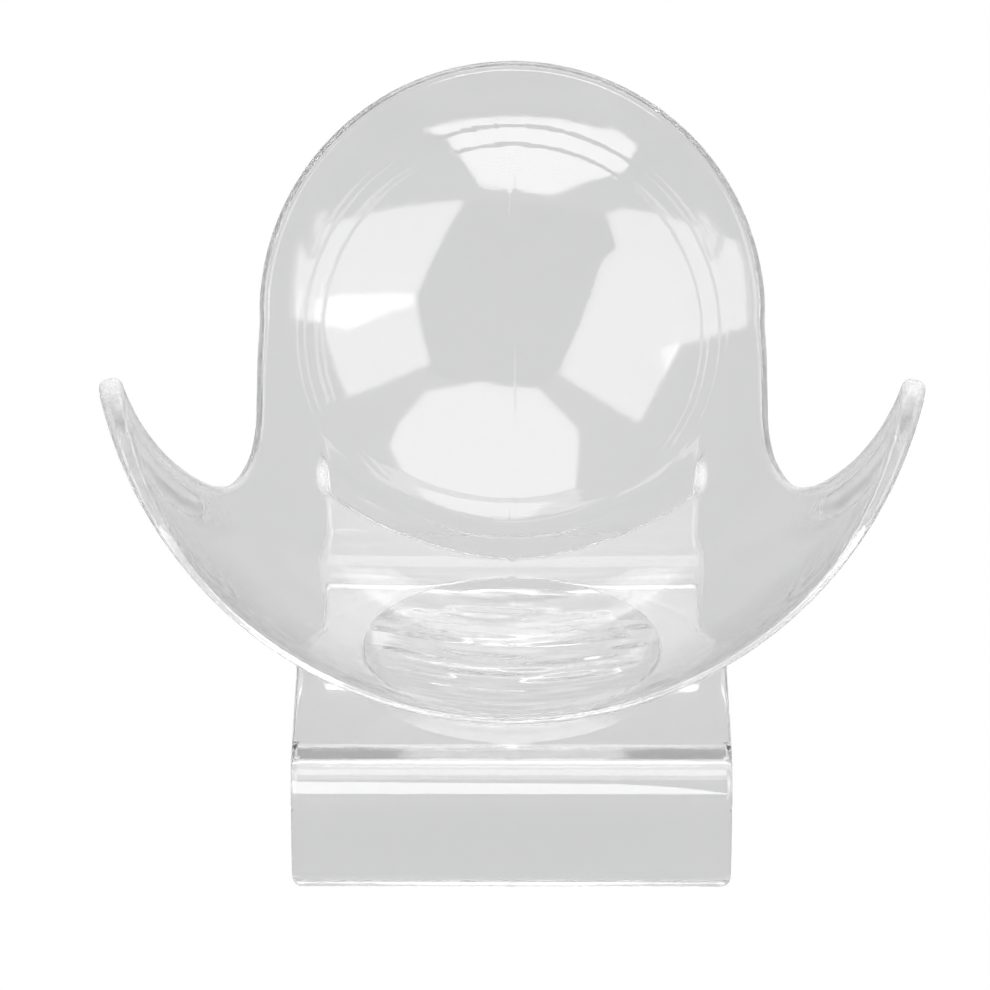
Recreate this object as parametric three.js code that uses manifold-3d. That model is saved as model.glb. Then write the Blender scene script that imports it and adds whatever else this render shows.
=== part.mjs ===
// A clear moulded stand that shows off a ball. A scalloped spherical cradle (backrest, two
// upswept arms and a seat) stands on a bridge-shaped base (deck, front wall and rear leg).
// Millimetres. +Z is up, +Y points to the back, and -X is the viewer's left from the front.
// The stand rests on z = 0, and its box is centred on the origin in X and Y.
import * as THREE from 'three';
import { mergeVertices } from 'three/addons/utils/BufferGeometryUtils.js';
import Module from 'manifold-3d';

const wasm = await Module();
wasm.setup();

const radians = THREE.MathUtils.degToRad;
const degrees = THREE.MathUtils.radToDeg;

// Driving dimensions. The origin of all pieces is the ball's centre until the very end.
const BALL_DIAMETER = 170;
const BALL_ROOM = 3.4;
const CRADLE_WALL = 3;
const BASE_WALL = 5.4;
const INNER_RADIUS = BALL_DIAMETER / 2 + BALL_ROOM;
const OUTER_RADIUS = INNER_RADIUS + CRADLE_WALL;
const CENTRE_HEIGHT = 116;
const TABLE_Z = -CENTRE_HEIGHT;
const JOINT_GAP = 0.3;

// Base: the deck's underside is level with the lowest point of the cradle's outside.
const DECK_TOP_Z = BASE_WALL - OUTER_RADIUS;
const DECK_WIDTH = 95.5;
const DECK_SHOULDER_Y = 3;
const SHOULDER_LENGTH = 9;
const FRONT_FACE_Y = -52;
const FRONT_BEND_RADIUS = 10.8;
const FOOT_CORNER_RADIUS = 2.6;
const LEG_WIDTH = 86;
const LEG_DISTANCE = 61;
const LEG_LEAN = radians(15);
const LEG_BLANK_TOP_Z = -53;

// The cradle's rim, in degrees of azimuth from +Y and of elevation above the ball's centre:
// a round arch, then a notch and a horn on each side, then a great circle round the front.
const AXIS_DIP = 27;
const ARCH_HALF_ANGLE = 39.2;
const ARCH_END = 43;
const NOTCH_AND_HORN = [
  [45.4, -26.7], [48, -31], [51.8, -35.6], [57, -38.8], [64, -40.2], [70.5, -39.4],
  [77, -36], [82.4, -30], [86.6, -22.9], [90.2, -15.6],
];
const HORN_TIP = [93, -10.8];
const FRONT_RIM_START = 96;
const RIM_COLUMNS = 48;
const SHELL_ROWS = 12;

// The wall at the rim against azimuth, and how far it takes to reach CRADLE_WALL: thick at
// the horns, and thin round the front.
const EDGE_WALLS = [[58, 3], [78, 5.4], [97, 5.4], [116, 1.6]];
const EDGE_BORDERS = [[97, 14], [125, 45]];

// Where the cradle divides into its members.
const SEAT_ELEVATION = 60;
const BACKREST_HALF_SECTOR = 56;
const ARM_FRONT_END = 140;
const CUTTER_REACH = 2 * OUTER_RADIUS;

// Roundness of the cutters.
const CONE_SIDES = 72;
const SPHERE_COLUMNS = 72;
const SPHERE_ROWS = 36;
const PAD_SIDES = 48;
const ARC_STEPS = 8;

// Turns a closed geometry into a solid for joining and cutting.
function solid(geometry) {
  geometry.deleteAttribute('normal');
  geometry.deleteAttribute('uv');
  const merged = mergeVertices(geometry, 1e-4);
  const index = merged.index.array;
  const triangles = [];
  for (let i = 0; i < index.length; i += 3) {
    const [a, b, c] = [index[i], index[i + 1], index[i + 2]];
    if (a !== b && b !== c && c !== a) triangles.push(a, b, c);
  }
  const vertProperties = new Float32Array(merged.getAttribute('position').array);
  const triVerts = new Uint32Array(triangles);
  return new wasm.Manifold(new wasm.Mesh({ numProp: 3, vertProperties, triVerts }));
}

function geometryOf(body) {
  const { vertProperties, triVerts } = body.getMesh();
  const geometry = new THREE.BufferGeometry();
  geometry.setAttribute('position', new THREE.BufferAttribute(vertProperties, 3));
  geometry.setIndex(new THREE.BufferAttribute(triVerts, 1));
  geometry.computeVertexNormals();
  return geometry;
}

// ---- Cradle --------------------------------------------------------------------------

// Top of the backrest: a circle about an axis that dips behind the ball.
function archElevation(azimuth) {
  const level = Math.cos(radians(AXIS_DIP)) * Math.cos(radians(azimuth));
  const dip = Math.sin(radians(AXIS_DIP));
  const reach = Math.acos(Math.cos(radians(ARCH_HALF_ANGLE)) / Math.hypot(level, dip));
  return degrees(reach - Math.atan2(dip, level));
}

// Front rim: the great circle square to that axis.
function frontRimElevation(azimuth) {
  return degrees(Math.atan(Math.cos(radians(azimuth)) / Math.tan(radians(AXIS_DIP))));
}

// Half of the rim, from the top of the backrest round to the middle of the front, as
// evenly spaced points of azimuth and elevation.
function halfRim() {
  const path = [];
  for (let azimuth = 0; azimuth <= ARCH_END; azimuth += 1) {
    path.push(new THREE.Vector2(azimuth, archElevation(azimuth)));
  }
  for (const [azimuth, elevation] of [...NOTCH_AND_HORN, HORN_TIP]) {
    path.push(new THREE.Vector2(azimuth, elevation));
  }
  for (let azimuth = FRONT_RIM_START; azimuth <= 180; azimuth += 1) {
    path.push(new THREE.Vector2(azimuth, frontRimElevation(azimuth)));
  }
  return new THREE.SplineCurve(path).getSpacedPoints(RIM_COLUMNS);
}

// Reads a table of [azimuth, value] pairs, with straight lines between them.
function interpolate(table, azimuth) {
  const above = table.findIndex(([limit]) => azimuth <= limit);
  if (above === 0) return table[0][1];
  if (above < 0) return table[table.length - 1][1];
  const [[start, from], [end, to]] = [table[above - 1], table[above]];
  return THREE.MathUtils.mapLinear(azimuth, start, end, from, to);
}

// The wall at a point that lies so many millimetres inside the rim.
function wallAt(azimuth, inset) {
  const edgeWall = interpolate(EDGE_WALLS, azimuth);
  const away = THREE.MathUtils.smoothstep(inset, 0, interpolate(EDGE_BORDERS, azimuth));
  return THREE.MathUtils.lerp(edgeWall, CRADLE_WALL, away);
}

// A lathed shell whose columns are stretched so that its edge follows the rim. The profile's
// x says how far a row has climbed from the bottom to the rim, and its y which side it is on.
function cradleGeometry() {
  const profile = [];
  for (let row = 0; row <= SHELL_ROWS; row += 1) {
    profile.push(new THREE.Vector2(row / SHELL_ROWS, 0));
  }
  for (let row = SHELL_ROWS; row >= 0; row -= 1) {
    profile.push(new THREE.Vector2(row / SHELL_ROWS, 1));
  }
  const columns = 2 * RIM_COLUMNS;
  const geometry = new THREE.LatheGeometry(profile, columns);
  const rim = halfRim();
  const position = geometry.getAttribute('position');
  for (let index = 0; index < position.count; index += 1) {
    const column = Math.floor(index / profile.length);
    const { x: climb, y: side } = profile[index % profile.length];
    const mirrored = column > RIM_COLUMNS;
    const edge = rim[mirrored ? columns - column : column];
    const azimuth = radians(mirrored ? -edge.x : edge.x);
    const elevation = radians(-90 + climb * (90 + edge.y));
    const inset = (1 - climb) * radians(90 + edge.y) * OUTER_RADIUS;
    const radius = side ? OUTER_RADIUS : OUTER_RADIUS - wallAt(edge.x, inset);
    const level = radius * Math.cos(elevation);
    const height = radius * Math.sin(elevation);
    position.setXYZ(index, level * Math.sin(azimuth), level * Math.cos(azimuth), height);
  }
  return geometry;
}

// Everything between two upright planes through the ball's centre, half a gap inside each.
function sectorCutter(middleAzimuth, halfAngle) {
  const side = CUTTER_REACH / Math.cos(radians(halfAngle) / 2);
  const corner = (azimuth, reach) => new THREE.Vector2(
    reach * Math.sin(radians(azimuth)),
    reach * Math.cos(radians(azimuth)),
  );
  const outline = new THREE.Shape([
    new THREE.Vector2(0, 0),
    corner(-halfAngle, CUTTER_REACH),
    corner(0, side),
    corner(halfAngle, CUTTER_REACH),
  ]);
  const geometry = new THREE.ExtrudeGeometry(outline, {
    depth: 2 * CUTTER_REACH,
    bevelEnabled: false,
  });
  const offset = JOINT_GAP / 2 / Math.sin(radians(halfAngle));
  geometry.translate(0, offset, -CUTTER_REACH);
  geometry.rotateZ(-radians(middleAzimuth));
  return solid(geometry);
}

// Everything below the seat's edge; shift moves that edge square to the shell by so much.
function seatCone(shift) {
  const halfAngle = radians(90 - SEAT_ELEVATION);
  const radius = CUTTER_REACH * Math.tan(halfAngle);
  const geometry = new THREE.ConeGeometry(radius, CUTTER_REACH, CONE_SIDES);
  geometry.rotateX(Math.PI / 2);
  geometry.translate(0, 0, -CUTTER_REACH / 2 + shift / Math.sin(halfAngle));
  return solid(geometry);
}

// Where the cradle's outside meets the level of the deck's top.
const PAD_RADIUS = Math.sqrt(OUTER_RADIUS ** 2 - DECK_TOP_Z ** 2);

function uprightDisc(radius, bottom, top) {
  const geometry = new THREE.CylinderGeometry(radius, radius, top - bottom, PAD_SIDES);
  geometry.rotateX(Math.PI / 2);
  geometry.translate(0, 0, (top + bottom) / 2);
  return solid(geometry);
}

function ball(radius) {
  return solid(new THREE.SphereGeometry(radius, SPHERE_COLUMNS, SPHERE_ROWS));
}

// The seat keeps the lip at the front, and a flat pad that fills the hole in the deck.
function seatBowl(cradle) {
  const frontHalfSector = 180 - ARM_FRONT_END;
  const region = seatCone(-JOINT_GAP / 2).add(sectorCutter(180, frontHalfSector));
  const pad = uprightDisc(PAD_RADIUS, -OUTER_RADIUS, DECK_TOP_Z - JOINT_GAP);
  return cradle.intersect(region).add(pad.subtract(ball(OUTER_RADIUS - CRADLE_WALL / 2)));
}

function backrest(cradle) {
  return cradle.intersect(sectorCutter(0, BACKREST_HALF_SECTOR)).subtract(seatCone(JOINT_GAP / 2));
}

// side is -1 for the viewer's left and 1 for the right.
function arm(cradle, side) {
  const middle = (BACKREST_HALF_SECTOR + ARM_FRONT_END) / 2;
  const halfSector = (ARM_FRONT_END - BACKREST_HALF_SECTOR) / 2;
  const region = sectorCutter(side * middle, halfSector);
  return cradle.intersect(region).subtract(seatCone(JOINT_GAP / 2));
}

// ---- Base ----------------------------------------------------------------------------

// Extrudes a side profile, drawn in Y and Z, across X.
function acrossX(profile, width) {
  const geometry = new THREE.ExtrudeGeometry(profile, {
    depth: width,
    bevelEnabled: false,
    curveSegments: ARC_STEPS,
  });
  geometry.translate(0, 0, -width / 2);
  const basis = new THREE.Matrix4().makeBasis(
    new THREE.Vector3(0, 1, 0),
    new THREE.Vector3(0, 0, 1),
    new THREE.Vector3(1, 0, 0),
  );
  return geometry.applyMatrix4(basis);
}

// How far back the leg's front face is at a height.
function legFrontY(height) {
  return (LEG_DISTANCE + height * Math.sin(LEG_LEAN)) / Math.cos(LEG_LEAN);
}

// The leg's slanted slab, grown forwards by margin.
function legSlab(width, margin) {
  const depth = BASE_WALL / Math.cos(LEG_LEAN);
  const profile = new THREE.Shape([
    new THREE.Vector2(legFrontY(TABLE_Z) - margin, TABLE_Z),
    new THREE.Vector2(legFrontY(TABLE_Z) + depth, TABLE_Z),
    new THREE.Vector2(legFrontY(LEG_BLANK_TOP_Z) + depth, LEG_BLANK_TOP_Z),
    new THREE.Vector2(legFrontY(LEG_BLANK_TOP_Z) - margin, LEG_BLANK_TOP_Z),
  ]);
  return solid(acrossX(profile, width));
}

// The leg runs from the table up to the underside of the cradle.
function rearLeg() {
  return legSlab(LEG_WIDTH, 0).subtract(ball(OUTER_RADIUS + JOINT_GAP));
}

// The deck narrows to the leg's width over two soft shoulders, and takes the seat's pad.
function footDeck() {
  const half = DECK_WIDTH / 2;
  const rearHalf = LEG_WIDTH / 2;
  const front = FRONT_FACE_Y + FRONT_BEND_RADIUS + JOINT_GAP;
  const back = legFrontY(DECK_TOP_Z) + BASE_WALL / 2;
  const shoulderEnd = DECK_SHOULDER_Y + SHOULDER_LENGTH;
  const shoulderMiddle = (DECK_SHOULDER_Y + shoulderEnd) / 2;
  const plan = new THREE.Shape();
  plan.moveTo(-half, front);
  plan.lineTo(half, front);
  plan.lineTo(half, DECK_SHOULDER_Y);
  plan.bezierCurveTo(half, shoulderMiddle, rearHalf, shoulderMiddle, rearHalf, shoulderEnd);
  plan.lineTo(rearHalf, back);
  plan.lineTo(-rearHalf, back);
  plan.lineTo(-rearHalf, shoulderEnd);
  plan.bezierCurveTo(-rearHalf, shoulderMiddle, -half, shoulderMiddle, -half, DECK_SHOULDER_Y);
  const plate = new THREE.ExtrudeGeometry(plan, {
    depth: BASE_WALL,
    bevelEnabled: false,
    curveSegments: ARC_STEPS,
  });
  plate.translate(0, 0, DECK_TOP_Z - BASE_WALL);
  const holeRadius = Math.sqrt((OUTER_RADIUS + JOINT_GAP) ** 2 - DECK_TOP_Z ** 2);
  const hole = uprightDisc(holeRadius, DECK_TOP_Z - 2 * BASE_WALL, DECK_TOP_Z + BASE_WALL);
  return solid(plate).subtract(hole).subtract(legSlab(DECK_WIDTH, JOINT_GAP));
}

// The bend takes the deck down to the front wall, whose lower corners are rounded.
function frontWall() {
  const bendY = FRONT_FACE_Y + FRONT_BEND_RADIUS;
  const bendZ = DECK_TOP_Z - FRONT_BEND_RADIUS;
  const innerRadius = FRONT_BEND_RADIUS - BASE_WALL;
  const profile = new THREE.Shape();
  profile.moveTo(FRONT_FACE_Y, TABLE_Z);
  profile.lineTo(FRONT_FACE_Y + BASE_WALL, TABLE_Z);
  profile.lineTo(FRONT_FACE_Y + BASE_WALL, bendZ);
  profile.absarc(bendY, bendZ, innerRadius, Math.PI, Math.PI / 2, true);
  profile.absarc(bendY, bendZ, FRONT_BEND_RADIUS, Math.PI / 2, Math.PI, false);
  return solid(acrossX(profile, DECK_WIDTH)).intersect(frontOutline());
}

// The front wall's outline from the front, as a block to cut it with.
function frontOutline() {
  const half = DECK_WIDTH / 2;
  const corner = FOOT_CORNER_RADIUS;
  const outline = new THREE.Shape();
  outline.moveTo(-half, DECK_TOP_Z + BASE_WALL);
  outline.lineTo(-half, TABLE_Z + corner);
  outline.absarc(-half + corner, TABLE_Z + corner, corner, Math.PI, 1.5 * Math.PI, false);
  outline.absarc(half - corner, TABLE_Z + corner, corner, 1.5 * Math.PI, 2 * Math.PI, false);
  outline.lineTo(half, DECK_TOP_Z + BASE_WALL);
  const block = new THREE.ExtrudeGeometry(outline, {
    depth: CUTTER_REACH,
    bevelEnabled: false,
    curveSegments: ARC_STEPS,
  });
  block.rotateX(Math.PI / 2);
  return solid(block);
}

// ---- Assembly ------------------------------------------------------------------------

function clearPlastic(tint) {
  return new THREE.MeshStandardMaterial({
    color: tint,
    roughness: 0.05,
    metalness: 0,
    transparent: true,
    opacity: 0.35,
  });
}

const CRADLE_TINT = 0xe4e8ea;
const BASE_TINT = 0xdde2e5;

// The box runs from the front wall to the back of the sphere, and is centred on Y = 0.
const BOX_MIDDLE_Y = (FRONT_FACE_Y + OUTER_RADIUS) / 2;

const cradle = solid(cradleGeometry());
const members = [
  ['backrest', backrest(cradle), CRADLE_TINT],
  ['left_arm', arm(cradle, -1), CRADLE_TINT],
  ['right_arm', arm(cradle, 1), CRADLE_TINT],
  ['seat_bowl', seatBowl(cradle), CRADLE_TINT],
  ['rear_leg', rearLeg(), BASE_TINT],
  ['foot_deck', footDeck(), BASE_TINT],
  ['front_wall', frontWall(), BASE_TINT],
];

const stand = new THREE.Group();
for (const [name, body, tint] of members) {
  const mesh = new THREE.Mesh(geometryOf(body), clearPlastic(tint));
  mesh.name = name;
  mesh.position.set(0, -BOX_MIDDLE_Y, CENTRE_HEIGHT);
  stand.add(mesh);
}

export default stand;
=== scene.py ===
"""The clear ball stand's looks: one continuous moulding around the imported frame."""
import math

import bpy
import numpy as np
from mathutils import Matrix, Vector


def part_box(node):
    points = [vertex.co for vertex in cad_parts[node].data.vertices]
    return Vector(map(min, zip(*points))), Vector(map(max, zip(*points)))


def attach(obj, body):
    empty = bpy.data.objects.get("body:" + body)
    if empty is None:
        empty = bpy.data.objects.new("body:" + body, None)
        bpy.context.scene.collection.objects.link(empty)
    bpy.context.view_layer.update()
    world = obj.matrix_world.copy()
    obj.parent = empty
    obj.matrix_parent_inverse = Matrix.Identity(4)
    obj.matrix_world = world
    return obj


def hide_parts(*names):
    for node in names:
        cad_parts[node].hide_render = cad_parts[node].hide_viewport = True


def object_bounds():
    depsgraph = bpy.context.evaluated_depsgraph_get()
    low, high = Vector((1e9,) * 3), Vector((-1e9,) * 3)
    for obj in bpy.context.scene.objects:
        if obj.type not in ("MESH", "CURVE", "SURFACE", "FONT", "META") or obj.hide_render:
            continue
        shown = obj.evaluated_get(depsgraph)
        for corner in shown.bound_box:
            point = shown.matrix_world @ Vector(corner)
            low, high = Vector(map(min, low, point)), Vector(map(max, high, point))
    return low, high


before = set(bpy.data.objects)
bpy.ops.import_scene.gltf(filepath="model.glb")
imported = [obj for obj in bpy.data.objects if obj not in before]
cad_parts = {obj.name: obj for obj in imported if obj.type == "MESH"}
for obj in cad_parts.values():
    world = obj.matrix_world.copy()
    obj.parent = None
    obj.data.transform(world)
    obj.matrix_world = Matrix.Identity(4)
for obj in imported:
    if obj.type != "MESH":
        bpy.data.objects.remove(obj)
CAD_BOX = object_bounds()

MM = 0.001

# ---- Driving dimensions, in millimetres about the ball's centre ------------------------
# The cradle. Its rim's edges are rounded by a share of the wall.
OUTER_RADIUS = 91.4
CRADLE_WALL = 3.0
MID_RADIUS = OUTER_RADIUS - CRADLE_WALL / 2
RIM_ROUNDING = 0.45
# Extra wall at the rim against azimuth, and the border in which it fades: the horns are
# thicker than the rest, and the front rim is thinner.
HORN_EXTRA = [(58, 0.0), (78, 2.4), (97, 2.4), (110, 0.0)]
HORN_BORDER = 14.0
FRONT_EXTRA = [(97, 0.0), (116, -1.4)]
FRONT_BORDER = 45.0

# The base: a deck, a front wall that bends down from it, and a slanted rear leg.
WALL = 5.4
FRONT_FACE_Y = -52.0
FRONT_BEND_RADIUS = 10.8
DECK_TOP = -86.0
DECK_BOTTOM = DECK_TOP - WALL
DECK_SHOULDER_Y = 3.0
SHOULDER_LENGTH = 9.0
LEG_DISTANCE = 61.0
LEG_LEAN = math.radians(15)
LEG_FILLET = 7.0
SIDE_ROUNDING = 2.0
TRIM_ROUNDING = 0.5
FOOT_CORNER_RADIUS = 2.6
FOOT_CORNER_ROUNDING = 0.6
FOOT_ROUNDING = 1.0
# How softly the cradle runs into the base, against the distance from the middle.
JOIN_BLEND = [(36, 1.6), (44, 2.2)]

LEG_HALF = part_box("rear_leg")[1][0] / MM
DECK_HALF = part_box("front_wall")[1][0] / MM
CENTRE = np.array([
    0.0,
    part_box("front_wall")[0][1] / MM - FRONT_FACE_Y,
    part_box("seat_bowl")[0][2] / MM + OUTER_RADIUS,
])
TABLE = -CENTRE[2]

# The rim, in degrees of azimuth from +Y and of elevation above the ball's centre: an arch,
# which is a circle about an axis that dips to the back, then the notch and the horn, and
# then a front that lies in one plane.
AXIS_DIP = math.radians(27)
ARCH_HALF_ANGLE = math.radians(39.2)
ARCH_END = 43
NOTCH_AND_HORN = [
    (45.4, -26.7), (48, -31), (51.8, -35.6), (57, -38.8), (64, -40.2), (70.5, -39.4),
    (77, -36), (82.4, -30), (86.6, -22.9), (90.2, -15.6), (93.0, -10.8),
]
FRONT_RIM_START = 96
CURVE_STEPS = 6

# Rings in the backrest, by the degrees between which each one steps down, counted from an
# axis of their own.
RING_AXIS_DIP = math.radians(30)
RING_EDGES = [(32.4, 31.9), (29.3, 28.8)]
RING_DEPTH = 0.3

# The parting ridge. The deck's underside is kept flat out to a radius, by a trim that takes
# away what hangs below it within a short reach.
RIDGE_HEIGHT = 0.07
RIDGE_HALF = 0.9
UNDERSIDE_RADIUS = 36.0
UNDERSIDE_REACH = 2.5

# Flow marks under the seat: coarse and fine waves along y. Each set sways with x, by terms
# of height, radians a millimetre and phase.
RIPPLE_HEIGHT = 0.11
RIPPLE_MIDDLE_Y = 3.0
RIPPLE_NARROWING = 1.1
RIPPLE_RADIUS = 36.0
RIPPLE_FADE = 12.0
COARSE_WAVE = 0.75
COARSE_SWAY = [(1.1, 0.11, 0.6), (0.7, 0.19, -1.0)]
FINE_WAVE = 1.4
FINE_SHARE = 0.5
FINE_SWAY = [(1.5, 0.13, 2.0)]
FINE_SLANT = 0.05

# Painted highlights, as a matte white. On the cut edge: how far inside the rim it starts, how far
# it takes to come up, how deep it goes from the outside, and its share against azimuth. On the
# leg: its top corner as y and z, the reach, and how much longer the spot is than wide.
EDGE_HIGHLIGHT_INSET = 1.92
EDGE_HIGHLIGHT_REACH = 1.2
EDGE_HIGHLIGHT_DEPTH = 6.0
EDGE_HIGHLIGHT_AROUND = [(56, 0.0), (70, 0.7), (80, 1.0), (94, 1.0), (98, 0.0)]
LEG_TOP = (45.3, -65.5)
LEG_SPOT_REACH = 2.0
LEG_SPOT_STRETCH = 2.6

# The mesh: its grid, the rounds and the share of each that even it out, the reach over
# which the field's slope is measured, and the least slope that is trusted.
VOXEL = 0.6
EVENING_ROUNDS = 7
EVENING_SHARE = 0.5
SLOPE_REACH = 0.04
LEAST_SLOPE = 0.2
# In cells: the room round the box. The bottom's isn't whole, so that no grid plane lies
# along the feet.
ROOM_BELOW = 2
ROOM_ABOVE = 3
ROOM_UNDER_FEET = 2.3
CELL_CORNERS = [(a, b, c) for a in (0, 1) for b in (0, 1) for c in (0, 1)]

# A field's value where it must not count in a maximum, and a number that keeps a division
# from being by 0.
DEEP_INSIDE = -9.0
TINY = 1e-12


# ---- Small helpers -----------------------------------------------------------------------
def smooth_min(a, b, k):
    h = np.maximum(k - np.abs(a - b), 0) / k
    return np.minimum(a, b) - h * h * k / 4


def smooth_max(a, b, k):
    return -smooth_min(-a, -b, k)


def ease(t):
    """Goes from 0 to 1 with level ends."""
    return t * t * (3 - 2 * t)


def look_up(pairs, place):
    """The value at a place, straight between the pairs of place and value."""
    return np.interp(place, *np.array(pairs).T)


def direction(azimuth, elevation):
    level = np.cos(elevation)
    return np.stack([level * np.sin(azimuth), level * np.cos(azimuth), np.sin(elevation)], -1)


def catmull_rom(knots, steps):
    padded = np.vstack([2 * knots[0] - knots[1], knots, 2 * knots[-1] - knots[-2]])
    t = np.linspace(0, 1, steps, endpoint=False)[:, None]
    out = []
    for i in range(1, len(padded) - 2):
        a, b, c, d = padded[i - 1:i + 3]
        out.append(0.5 * (2 * b + (c - a) * t + (2 * a - 5 * b + 4 * c - d) * t ** 2
                          + (3 * b - a - 3 * c + d) * t ** 3))
    return np.vstack(out + [knots[-1:]])


# ---- Rim ---------------------------------------------------------------------------------
def rim_points():
    """The half rim as dense pairs of azimuth and elevation, in radians."""
    arch = []
    for azimuth in range(0, ARCH_END + 1):
        level = math.cos(AXIS_DIP) * math.cos(math.radians(azimuth))
        dip = math.sin(AXIS_DIP)
        reach = math.acos(math.cos(ARCH_HALF_ANGLE) / math.hypot(level, dip))
        arch.append((azimuth, math.degrees(reach - math.atan2(dip, level))))
    front = []
    for azimuth in range(FRONT_RIM_START, 181):
        slope = math.cos(math.radians(azimuth)) / math.tan(AXIS_DIP)
        front.append((azimuth, math.degrees(math.atan(slope))))
    knots = np.array(arch + NOTCH_AND_HORN + front)
    return np.radians(catmull_rom(knots, CURVE_STEPS))


class RimTable:
    """The signed angle from the rim, and the wall there, by azimuth and elevation."""

    STEP = math.radians(0.3)
    HIGHEST = math.radians(40)
    # How far from its end a row may be read, so that there is always a next place.
    END_GAP = 1.001

    def __init__(self):
        rim = rim_points()
        self.azimuths = np.arange(0, math.pi + self.STEP, self.STEP)
        self.elevations = np.arange(-math.pi / 2, self.HIGHEST, self.STEP)
        edge = np.interp(self.azimuths, rim[:, 0], rim[:, 1])
        right = direction(rim[:, 0], rim[:, 1]).astype(np.float32)
        sides = [right, right * np.array([-1, 1, 1], np.float32)]
        start = np.vstack([side[:-1] for side in sides])
        along = np.vstack([side[1:] for side in sides]) - start
        around = np.tile(np.degrees(rim[:-1, 0]), 2)
        length2 = np.maximum((along ** 2).sum(1), TINY)
        start2 = (start ** 2).sum(1)
        offset = (start * along).sum(1)
        borders = [(np.flatnonzero(around < HORN_EXTRA[-1][0]), HORN_EXTRA, HORN_BORDER),
                   (np.flatnonzero(around > FRONT_EXTRA[0][0]), FRONT_EXTRA, FRONT_BORDER)]
        grid = direction(*np.meshgrid(self.azimuths, self.elevations, indexing="ij"))
        grid = grid.astype(np.float32)
        self.angles = np.empty(grid.shape[:2], np.float32)
        self.walls = np.full(grid.shape[:2], CRADLE_WALL, np.float32)
        for i, row in enumerate(grid):
            reach = row @ along.T - offset
            t = np.clip(reach / length2, 0, 1)
            near2 = ((row ** 2).sum(1)[:, None] - 2 * row @ start.T + start2
                     - 2 * t * reach + t ** 2 * length2)
            near2 = np.maximum(near2, 0)
            near = np.sqrt(near2.min(1))
            self.angles[i] = np.where(self.elevations > edge[i], near, -near)
            for members, extra, width in borders:
                nearest = near2[:, members].argmin(1)
                away = np.sqrt(near2[:, members].min(1)) * MID_RADIUS
                added = look_up(extra, around[members][nearest])
                self.walls[i] += added * ease(np.clip(1 - away / width, 0, 1))

    def __call__(self, azimuth, elevation):
        u = np.clip(np.abs(azimuth) / self.STEP, 0, len(self.azimuths) - self.END_GAP)
        v = (elevation + math.pi / 2) / self.STEP
        v = np.clip(v, 0, len(self.elevations) - self.END_GAP)
        i, j = u.astype(np.int32), v.astype(np.int32)
        u, v = u - i, v - j
        found = []
        for table in (self.angles, self.walls):
            low = table[i, j] * (1 - u) + table[i + 1, j] * u
            high = table[i, j + 1] * (1 - u) + table[i + 1, j + 1] * u
            found.append(low * (1 - v) + high * v)
        return found


RIM = RimTable()
RING_AXIS = direction(0.0, -RING_AXIS_DIP)


# ---- Distance fields: below 0 inside the plastic --------------------------------------------
def ring_step(y, z, r):
    """How deep the disc inside the rings is sunk into the inner face."""
    cosine = (y * RING_AXIS[1] + z * RING_AXIS[2]) / np.maximum(r, 1)
    angle = np.degrees(np.arccos(np.clip(cosine, -1, 1)))
    steps = [np.clip((far - angle) / (far - near), 0, 1) for far, near in RING_EDGES]
    return RING_DEPTH * sum(ease(t) for t in steps)


def cradle_field(x, y, z, r):
    elevation = np.arcsin(np.clip(z / np.maximum(r, 1), -1, 1))
    edge, wall = RIM(np.arctan2(x, y), elevation)
    inner = OUTER_RADIUS - wall + ring_step(y, z, r) - r
    shell = np.maximum(inner, r - OUTER_RADIUS)
    return smooth_max(shell, edge * MID_RADIUS, RIM_ROUNDING * wall)


def sway(x, terms):
    return sum(height * np.sin(pitch * x + phase) for height, pitch, phase in terms)


def ripple(x, y):
    """Flow marks under the place where the cradle runs into the deck."""
    reach = np.hypot(x, RIPPLE_NARROWING * (y - RIPPLE_MIDDLE_Y))
    inside = np.clip((RIPPLE_RADIUS - reach) / RIPPLE_FADE, 0, 1)
    coarse = np.sin(COARSE_WAVE * y + sway(x, COARSE_SWAY))
    fine = np.sin(FINE_WAVE * y + sway(x, FINE_SWAY) + FINE_SLANT * x)
    return RIPPLE_HEIGHT * inside * (coarse + FINE_SHARE * fine)


def deck_half_width(y):
    t = np.clip((y - DECK_SHOULDER_Y) / SHOULDER_LENGTH, 0, 1)
    return DECK_HALF - (DECK_HALF - LEG_HALF) * ease(t)


def bridge_field(x, y, z):
    """The deck, the bend and the front wall. The deck is endless to the back, the wall is
    endless downwards, and both are endless to the sides."""
    bend_y = FRONT_FACE_Y + FRONT_BEND_RADIUS
    bend_z = DECK_TOP - FRONT_BEND_RADIUS
    deck = np.maximum(z - DECK_TOP, DECK_BOTTOM + ripple(x, y) - z)
    wall = np.abs(y - FRONT_FACE_Y - WALL / 2) - WALL / 2
    bend = np.abs(np.hypot(y - bend_y, z - bend_z) - FRONT_BEND_RADIUS + WALL / 2) - WALL / 2
    deck_side = np.maximum(deck, bend_y - y)
    wall_side = np.maximum(wall, z - bend_z)
    in_bend = (y < bend_y) & (z > bend_z)
    return np.where(in_bend, bend, np.minimum(deck_side, wall_side))


def feet_field(x, y, z):
    """All that is above the table, less the rounded corners of the front wall's foot."""
    corner_x = np.maximum(np.abs(x) - DECK_HALF + FOOT_CORNER_RADIUS, 0)
    corner_z = np.maximum(TABLE + FOOT_CORNER_RADIUS - z, 0)
    corner = np.hypot(corner_x, corner_z) - FOOT_CORNER_RADIUS
    corner = np.where(y < 0, corner, DEEP_INSIDE)
    return smooth_max(TABLE - z, corner, FOOT_CORNER_ROUNDING)


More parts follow.
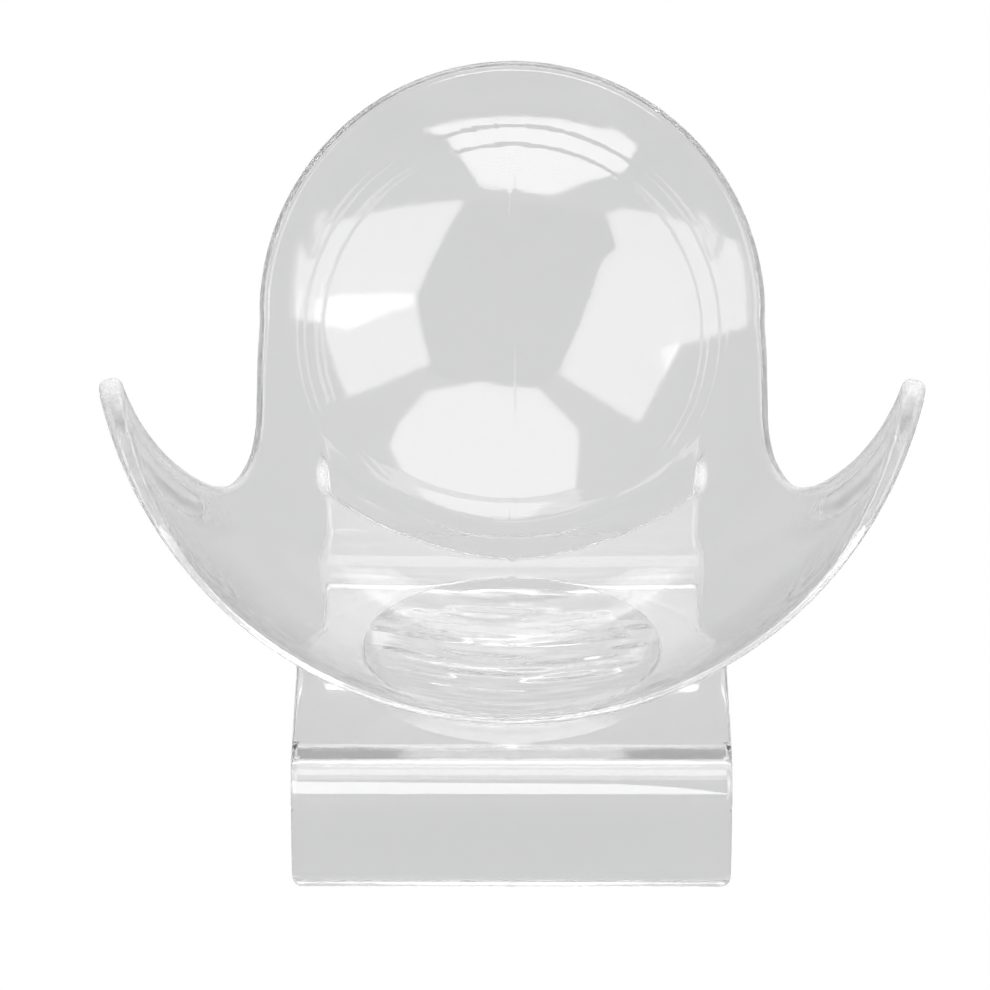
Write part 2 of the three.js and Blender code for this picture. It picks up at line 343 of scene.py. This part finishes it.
def base_field(x, y, z, r):
    leg_front = y * math.cos(LEG_LEAN) - z * math.sin(LEG_LEAN) - LEG_DISTANCE
    bridge = smooth_max(bridge_field(x, y, z), leg_front - WALL / 2, TRIM_ROUNDING)
    bridge = smooth_max(bridge, np.abs(x) - deck_half_width(y), SIDE_ROUNDING)
    slab = np.maximum(-leg_front, leg_front - WALL)
    leg = smooth_max(slab, np.abs(x) - LEG_HALF, SIDE_ROUNDING)
    base = smooth_min(bridge, leg, LEG_FILLET)
    base = smooth_max(base, MID_RADIUS - r, TRIM_ROUNDING)
    return smooth_max(base, feet_field(x, y, z), FOOT_ROUNDING)


def stand_field(p):
    x, y, z = p[..., 0], p[..., 1], p[..., 2]
    r = np.sqrt(x * x + y * y + z * z)
    outwards = np.hypot(x, y)
    blend = look_up(JOIN_BLEND, outwards)
    joined = smooth_min(cradle_field(x, y, z, r), base_field(x, y, z, r), blend)
    under = (outwards < UNDERSIDE_RADIUS) & (z > DECK_BOTTOM - UNDERSIDE_REACH)
    level = np.where(under, DECK_BOTTOM + ripple(x, y) - z, DEEP_INSIDE)
    ridge = RIDGE_HEIGHT * np.clip(1 - np.abs(x) / RIDGE_HALF, 0, 1)
    return np.maximum(joined, level) - ridge


# ---- Surface -----------------------------------------------------------------------------
def sample_grid(field, low, high, step):
    """The field at the corners of a grid of cells, and the grid's first corner. The grid is
    the same on both sides of x = 0."""
    half = math.ceil(high[0] / step) + 1
    xs = (np.arange(-half, half) + 0.5) * step
    ys = np.arange(low[1] - ROOM_BELOW * step, high[1] + ROOM_ABOVE * step, step)
    zs = np.arange(low[2] - ROOM_UNDER_FEET * step, high[2] + ROOM_ABOVE * step, step)
    values = np.empty((len(xs), len(ys), len(zs)), np.float32)
    for i, x in enumerate(xs):
        plane = np.stack(np.meshgrid([x], ys, zs, indexing="ij"), -1)
        values[i] = field(plane)[0]
    return values, np.array([xs[0], ys[0], zs[0]])


def crossed_cells(inside):
    """The cells that the surface crosses, and a grid that holds their numbers."""
    nx, ny, nz = [n - 1 for n in inside.shape]
    count = np.zeros((nx, ny, nz), np.int8)
    for a, b, c in CELL_CORNERS:
        count += inside[a:a + nx, b:b + ny, c:c + nz]
    cells = np.argwhere((count > 0) & (count < len(CELL_CORNERS)))
    numbers = np.full(count.shape, -1, np.int64)
    numbers[tuple(cells.T)] = np.arange(len(cells))
    return cells, numbers


def points_in_cells(values, cells):
    """The middle of the places where the surface crosses each cell's edges."""
    total = np.zeros((len(cells), 3))
    hits = np.zeros(len(cells))
    for corner in CELL_CORNERS:
        for axis in range(3):
            if corner[axis]:
                continue
            first = cells + np.array(corner)
            second = first.copy()
            second[:, axis] += 1
            start = values[tuple(first.T)]
            end = values[tuple(second.T)]
            crossed = (start < 0) != (end < 0)
            t = np.where(crossed, start / np.where(crossed, start - end, 1), 0)
            point = np.array(corner, float) + np.zeros((len(cells), 3))
            point[:, axis] += t
            total += point * crossed[:, None]
            hits += crossed
    return total / hits[:, None]


def squares_between(inside, numbers):
    """A square for each grid edge that the surface crosses, from the four cells round it."""
    faces = []
    for axis in range(3):
        b, c = (axis + 1) % 3, (axis + 2) % 3
        low_side = inside.take(range(inside.shape[axis] - 1), axis)
        high_side = inside.take(range(1, inside.shape[axis]), axis)
        edges = np.argwhere(low_side != high_side)
        starts_in = low_side[tuple(edges.T)]
        corners = []
        for db, dc in ((-1, -1), (0, -1), (0, 0), (-1, 0)):
            cell = edges.copy()
            cell[:, b] += db
            cell[:, c] += dc
            corners.append(numbers[tuple(cell.T)])
        squares = np.stack(corners, 1)
        squares[~starts_in] = squares[~starts_in][:, ::-1]
        faces.append(squares)
    return np.vstack(faces)


def surface_net(field, low, high, step):
    """Dual grid surface of field = 0: one vertex for each cell that it crosses."""
    values, origin = sample_grid(field, low, high, step)
    inside = values < 0
    cells, numbers = crossed_cells(inside)
    vertices = origin + (cells + points_in_cells(values, cells)) * step
    return vertices, squares_between(inside, numbers)


def gradient(field, points):
    parts = []
    for axis in range(3):
        offset = np.zeros(3)
        offset[axis] = SLOPE_REACH
        parts.append((field(points + offset) - field(points - offset)) / (2 * SLOPE_REACH))
    return np.stack(parts, 1)


def pull(field, vertices, step):
    """The vertices after one step onto the surface, and their normals."""
    slope = gradient(field, vertices)
    length = np.maximum(np.linalg.norm(slope, axis=1), LEAST_SLOPE)
    normals = slope / length[:, None]
    push = np.clip(field(vertices) / length, -step, step)
    return vertices - push[:, None] * normals, normals


def settle(field, vertices, faces, step):
    """Evens the mesh out along the surface, and pulls each vertex onto it."""
    pairs = np.vstack([faces[:, [i, (i + 1) % 4]] for i in range(4)])
    degree = np.bincount(pairs[:, 0], minlength=len(vertices))
    for _ in range(EVENING_ROUNDS):
        vertices, normals = pull(field, vertices, step)
        mean = np.stack([np.bincount(pairs[:, 0], vertices[pairs[:, 1], k], len(vertices))
                         for k in range(3)], 1) / degree[:, None]
        shift = mean - vertices
        shift -= (shift * normals).sum(1)[:, None] * normals
        vertices = vertices + EVENING_SHARE * shift
    return pull(field, vertices, step)


def painted_highlights(p):
    """Where a matte white is painted on as highlights: the cut edge of the notches and horns, and
    the corners where the leg meets the cradle."""
    x, y, z = p.T
    r = np.linalg.norm(p, axis=1)
    azimuth = np.arctan2(x, y)
    edge, _ = RIM(azimuth, np.arcsin(np.clip(z / r, -1, 1)))
    on_edge = np.clip((edge * MID_RADIUS + EDGE_HIGHLIGHT_INSET) / EDGE_HIGHLIGHT_REACH, 0, 1)
    around = look_up(EDGE_HIGHLIGHT_AROUND, np.degrees(np.abs(azimuth)))
    outside = r > OUTER_RADIUS - EDGE_HIGHLIGHT_DEPTH
    from_corner = np.hypot(y - LEG_TOP[0], z - LEG_TOP[1]) / LEG_SPOT_STRETCH
    spot = LEG_SPOT_REACH - np.hypot(np.abs(x) - LEG_HALF, from_corner)
    return np.maximum(on_edge * around * outside, np.clip(spot, 0, 1))


def build_mesh(name, field, low, high):
    vertices, faces = surface_net(field, low, high, VOXEL)
    vertices, normals = settle(field, vertices, faces, VOXEL)
    points = (vertices + CENTRE) * MM
    mesh = bpy.data.meshes.new(name)
    mesh.from_pydata(points.tolist(), [], faces.tolist())
    mesh.validate()
    mesh.shade_smooth()
    mesh.normals_split_custom_set_from_vertices(normals.tolist())
    # The painted highlight mask, kept on the mesh for the material.
    painted_highlight = mesh.attributes.new("painted_highlight", "FLOAT", "POINT")
    painted_highlight.data.foreach_set("value", painted_highlights(vertices).astype(np.float32))
    piece = bpy.data.objects.new(name, mesh)
    bpy.context.collection.objects.link(piece)
    return piece


# ---- Nodes ---------------------------------------------------------------------------------
def new_material(name):
    material = bpy.data.materials.new(name)
    material.use_nodes = True
    return material, material.node_tree.nodes, material.node_tree.links


def add_node(nodes, kind, values):
    """A new node, with values for its sockets."""
    node = nodes.new(kind)
    for socket, value in values.items():
        node.inputs[socket].default_value = value
    return node


def add_math(nodes, operation, values):
    node = add_node(nodes, "ShaderNodeMath", values)
    node.operation = operation
    return node


def mix_shaders(nodes, links, factor, first, second):
    """Goes from the first shader to the second as the factor goes from 0 to 1."""
    mix = nodes.new("ShaderNodeMixShader")
    links.new(factor, mix.inputs["Fac"])
    links.new(first, mix.inputs[1])
    links.new(second, mix.inputs[2])
    return mix.outputs[0]


def emission(nodes, values):
    return add_node(nodes, "ShaderNodeEmission", values).outputs[0]


# ---- Plastic -------------------------------------------------------------------------------
HAZE = 0.09
WAVINESS_SCALE = 60
WAVINESS_STRENGTH = 0.02
WAVINESS_HEIGHT = 0.0005
# The painted highlights: a matte white, streaked by noise, that stands in for bright highlights.
HIGHLIGHT_STREAK_SCALE = 420
HIGHLIGHT_STREAK_DETAIL = 4
PAINTED_HIGHLIGHT_COLOUR = (0.6, 0.6, 0.6, 1)


def clear_plastic():
    """Clear plastic with a trace of waviness, a little white haze, and a streaky matte white
    painted on as highlights.
    """
    material, nodes, links = new_material("clear_plastic")
    shader = nodes["Principled BSDF"]
    shader.inputs["Base Color"].default_value = (1, 1, 1, 1)
    shader.inputs["Roughness"].default_value = 0.06
    shader.inputs["IOR"].default_value = 1.5
    shader.inputs["Transmission Weight"].default_value = 1.0
    waviness = add_node(nodes, "ShaderNodeTexNoise", {"Scale": WAVINESS_SCALE})
    bump = add_node(nodes, "ShaderNodeBump",
                    {"Strength": WAVINESS_STRENGTH, "Distance": WAVINESS_HEIGHT})
    links.new(waviness.outputs["Fac"], bump.inputs["Height"])
    links.new(bump.outputs["Normal"], shader.inputs["Normal"])
    # Painted highlights: the mask times streaky noise, added to the haze, mixes in the matte
    # white.
    painted_highlight = nodes.new("ShaderNodeAttribute")
    painted_highlight.attribute_name = "painted_highlight"
    streaks = add_node(nodes, "ShaderNodeTexNoise",
                       {"Scale": HIGHLIGHT_STREAK_SCALE, "Detail": HIGHLIGHT_STREAK_DETAIL})
    share = add_math(nodes, "MULTIPLY", {})
    links.new(painted_highlight.outputs["Fac"], share.inputs[0])
    links.new(streaks.outputs["Fac"], share.inputs[1])
    haze_and_highlight = add_math(nodes, "ADD", {1: HAZE})
    haze_and_highlight.use_clamp = True
    links.new(share.outputs[0], haze_and_highlight.inputs[0])
    white = add_node(nodes, "ShaderNodeBsdfDiffuse", {"Color": PAINTED_HIGHLIGHT_COLOUR})
    surface = mix_shaders(nodes, links, haze_and_highlight.outputs[0], shader.outputs[0], white.outputs[0])
    links.new(surface, nodes["Material Output"].inputs["Surface"])
    return material


# ---- The moulding --------------------------------------------------------------------------
low = np.array(CAD_BOX[0]) / MM - CENTRE
high = np.array(CAD_BOX[1]) / MM - CENTRE
moulding = build_mesh("clear_moulding", stand_field, low, high)
moulding.data.materials.append(clear_plastic())
moulding.visible_shadow = False
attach(moulding, "root")
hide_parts("backrest", "left_arm", "right_arm", "seat_bowl", "rear_leg",
            "foot_deck", "front_wall")


# ---- Studio: sizes in metres, and lamps as directions from the ball's centre -------------------
FLOOR_HALF = 8.0
FLOOR_GAP = 0.0002
FLOOR_GREY = (0.555, 0.557, 0.559, 1)
ROOM_TONE = 0.57

CAMERA_ELEVATION = math.radians(24.5)
CAMERA_DISTANCE = 1.3793
CAMERA_LENS = 232.7
SENSOR_WIDTH = 36
CAMERA_REACH = 50
AIM_BELOW = 0.04203
AIM_LEFT = 0.00366

KEY_PLACE = (20, 72)
KEY_DISTANCE = 1.4
KEY_SIZE = 1.0
KEY_POWER = 3

# Corners of the lamps: azimuth from the camera's side and elevation, in degrees.
OCTABOX = [
    (37, 47), (14, 48), (2, 50), (-11, 50), (-38, 59), (-72, 73), (-79, 80), (-172, 85),
    (91, 68), (78, 61), (69, 54), (55, 51),
]
SOFTBOX_RIGHT = [
    (52, -23), (33, -21), (14, -5), (31, 21), (32, 40), (68, 38), (63, 18), (72, 13), (65, -2),
]
SOFTBOX_RIGHT_CORE = [(58, 3), (33, 7), (31, 21), (42, 31), (66, 16)]
SOFTBOX_LEFT = [
    (-27, -3), (-31, 6), (-27, 11), (-19, 45), (-62, 49), (-57, 27), (-78, 12), (-71, -2),
    (-58, -18), (-42, -11),
]
SOFTBOX_LEFT_CORE = [(-34, 8), (-58, 7), (-65, 19), (-59, 25), (-59, 38), (-44, 27)]
BACK_STRIP = [(140, 36), (180, 32), (220, 36), (220, 50), (180, 54), (140, 50)]
DARK_ROOM = [
    (14, -5), (-27, -3), (-31, 6), (-27, 11), (-19, 45), (-11, 50), (14, 48), (34, 43), (31, 21),
]
TABLE_CARD = [
    (39, -43), (28, -40), (11, -19), (-15, -16), (-43, -28), (-65, -48), (-39, -43),
]
# Each lamp's name, corners, distance, mirrored light and passing light, as glow() says.
LAMPS = [
    ("octabox", OCTABOX, 1.2, 3.6, 4.2),
    ("softbox_right", SOFTBOX_RIGHT, 1.2, 3.4, 3.8),
    ("softbox_right_core", SOFTBOX_RIGHT_CORE, 1.19, 6.4, 5.8),
    ("softbox_left", SOFTBOX_LEFT, 1.2, 3.4, 3.8),
    ("softbox_left_core", SOFTBOX_LEFT_CORE, 1.19, 5.8, 5.2),
    ("back_strip", BACK_STRIP, 1.2, 2.0, 3.0),
    ("dark_room", DARK_ROOM, 1.25, 0.05, 0.45),
    ("table_card", TABLE_CARD, 0.13, 8.2, None),
]


def direct(azimuth, elevation):
    """A direction from the ball's centre, its azimuth counted from the camera's side."""
    a, e = math.radians(azimuth), math.radians(elevation)
    return Vector((math.sin(a) * math.cos(e), -math.cos(a) * math.cos(e), math.sin(e)))


def floor_material():
    """White to the camera, and light grey to rays from the plastic."""
    material, nodes, links = new_material("floor")
    nodes.remove(nodes["Principled BSDF"])
    path = nodes.new("ShaderNodeLightPath")
    grey = emission(nodes, {"Color": FLOOR_GREY})
    white = emission(nodes, {"Color": (1, 1, 1, 1)})
    surface = mix_shaders(nodes, links, path.outputs["Is Camera Ray"], grey, white)
    links.new(surface, nodes["Material Output"].inputs["Surface"])
    return material


def make_floor():
    mesh = bpy.data.meshes.new("floor")
    corners = [(-1, -1, 0), (1, -1, 0), (1, 1, 0), (-1, 1, 0)]
    corners = [(x * FLOOR_HALF, y * FLOOR_HALF, z) for x, y, z in corners]
    mesh.from_pydata(corners, [], [(0, 1, 2, 3)])
    mesh.materials.append(floor_material())
    floor = bpy.data.objects.new("floor", mesh)
    floor.location.z = CAD_BOX[0][2] - FLOOR_GAP
    bpy.context.collection.objects.link(floor)


def make_camera():
    """A long lens from the front, aimed a little below the ball's centre."""
    forward = Vector((0, math.cos(CAMERA_ELEVATION), -math.sin(CAMERA_ELEVATION)))
    up = Vector((0, math.sin(CAMERA_ELEVATION), math.cos(CAMERA_ELEVATION)))
    centre = Vector(CENTRE * MM)
    camera = bpy.data.objects.new("camera", bpy.data.cameras.new("camera"))
    camera.data.lens = CAMERA_LENS
    camera.data.sensor_width = SENSOR_WIDTH
    camera.data.clip_end = CAMERA_REACH
    camera.location = centre - forward * CAMERA_DISTANCE
    aim = centre - up * AIM_BELOW - Vector((AIM_LEFT, 0, 0))
    camera.rotation_euler = (aim - camera.location).to_track_quat("-Z", "Y").to_euler()
    bpy.context.collection.objects.link(camera)
    bpy.context.scene.camera = camera


def key_light():
    """A soft lamp overhead, for anything that scatters light."""
    light = bpy.data.lights.new("key", "AREA")
    light.size = KEY_SIZE
    light.energy = KEY_POWER
    holder = bpy.data.objects.new("key", light)
    holder.location = Vector(CENTRE * MM) + direct(*KEY_PLACE) * KEY_DISTANCE
    holder.rotation_euler = (-direct(*KEY_PLACE)).to_track_quat("-Z", "Y").to_euler()
    holder.visible_glossy = False
    holder.visible_transmission = False
    bpy.context.collection.objects.link(holder)


def glow(name, mirrored, passing):
    """A lamp's light: mirrored for a first reflection, and passing for rays that turned back
    inside the plastic. Rays that came straight through see the room's own tone. A lamp
    with no passing light lets all but first reflections through."""
    material, nodes, links = new_material(name)
    nodes.remove(nodes["Principled BSDF"])
    path = nodes.new("ShaderNodeLightPath")
    if passing is None:
        other = nodes.new("ShaderNodeBsdfTransparent").outputs[0]
    else:
        odd = add_math(nodes, "MODULO", {1: 2})
        links.new(path.outputs["Ray Depth"], odd.inputs[0])
        straight = emission(nodes, {"Strength": ROOM_TONE})
        turned = emission(nodes, {"Strength": passing})
        other = mix_shaders(nodes, links, odd.outputs[0], straight, turned)
    reflected = emission(nodes, {"Strength": mirrored})
    surface = mix_shaders(nodes, links, path.outputs["Is Reflection Ray"], other, reflected)
    links.new(surface, nodes["Material Output"].inputs["Surface"])
    return material


def make_lamp(name, corners, distance, mirrored, passing):
    """A flat glowing shape, seen in the plastic but not by the camera."""
    centre = Vector(CENTRE * MM)
    points = [tuple(centre + direct(*corner) * distance) for corner in corners]
    mesh = bpy.data.meshes.new(name)
    mesh.from_pydata(points, [], [tuple(range(len(points)))])
    mesh.materials.append(glow(name, mirrored, passing))
    holder = bpy.data.objects.new(name, mesh)
    holder.visible_camera = False
    holder.visible_shadow = False
    bpy.context.collection.objects.link(holder)


def make_world():
    world = bpy.data.worlds.new("room")
    world.use_nodes = True
    background = world.node_tree.nodes["Background"]
    background.inputs["Color"].default_value = (ROOM_TONE, ROOM_TONE, ROOM_TONE, 1)
    bpy.context.scene.world = world


make_world()
scene = bpy.context.scene
scene.view_settings.view_transform = "Standard"
scene.cycles.max_bounces = 32
scene.cycles.transmission_bounces = 32
scene.cycles.glossy_bounces = 16
make_floor()
make_camera()
key_light()
for lamp in LAMPS:
    make_lamp(*lamp)
